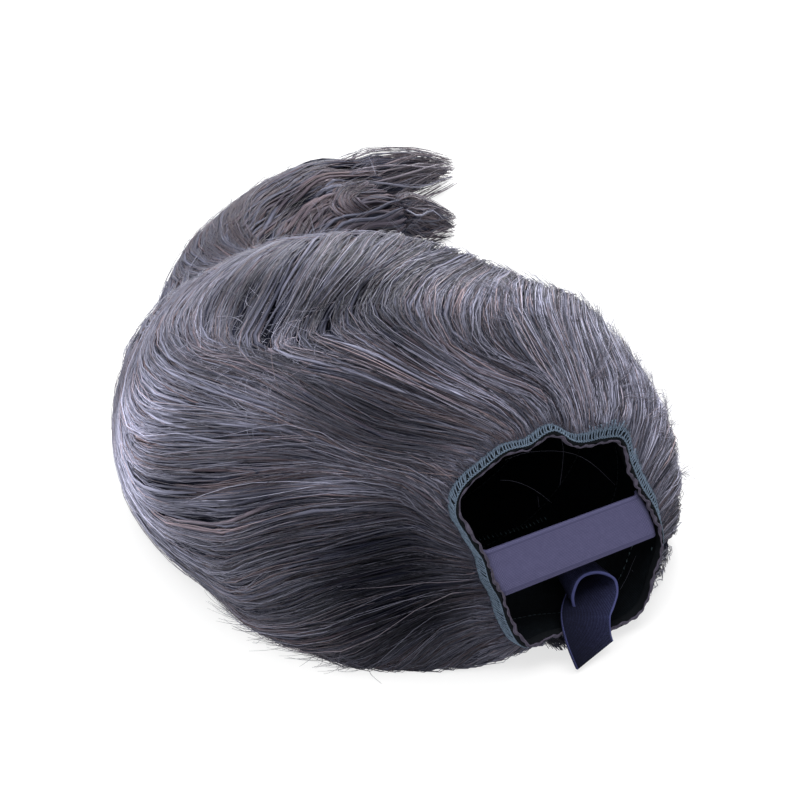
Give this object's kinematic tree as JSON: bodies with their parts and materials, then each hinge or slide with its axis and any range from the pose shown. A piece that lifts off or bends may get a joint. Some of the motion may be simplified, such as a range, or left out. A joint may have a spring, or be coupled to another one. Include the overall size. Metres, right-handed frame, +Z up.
{
  "type": "u-part wig",
  "caption": "Part wig lying on its nape: a hollow net cap with a bound, gathered mouth, an elastic band across it, a looped nape strap, and hair combed back and swept aside.",
  "frame": {"origin": "on the floor, under the middle of the wig's box", "axes": "+Z up from the floor it lies on, -Y out of the mouth, +Y towards the crown and the lengths, +X to the right seen from the mouth's side"},
  "size_m": [0.3272, 0.4366, 0.1498],
  "materials": {
    "net": "matt black stretch net",
    "binding": "matt overlocked tape, blue-black",
    "elastic": "soft woven elastic, lavender grey",
    "hair": "glossy dark brown-black hair"
  },
  "bodies": {
    "root": {"cap_net": "net", "edge_binding": "binding", "elastic_band": "elastic", "nape_strap": "elastic", "hair_crown": "hair", "hair_lengths": "hair", "hair_lock_far": "hair", "hair_lock_near": "hair"}
  },
  "joints": []
}
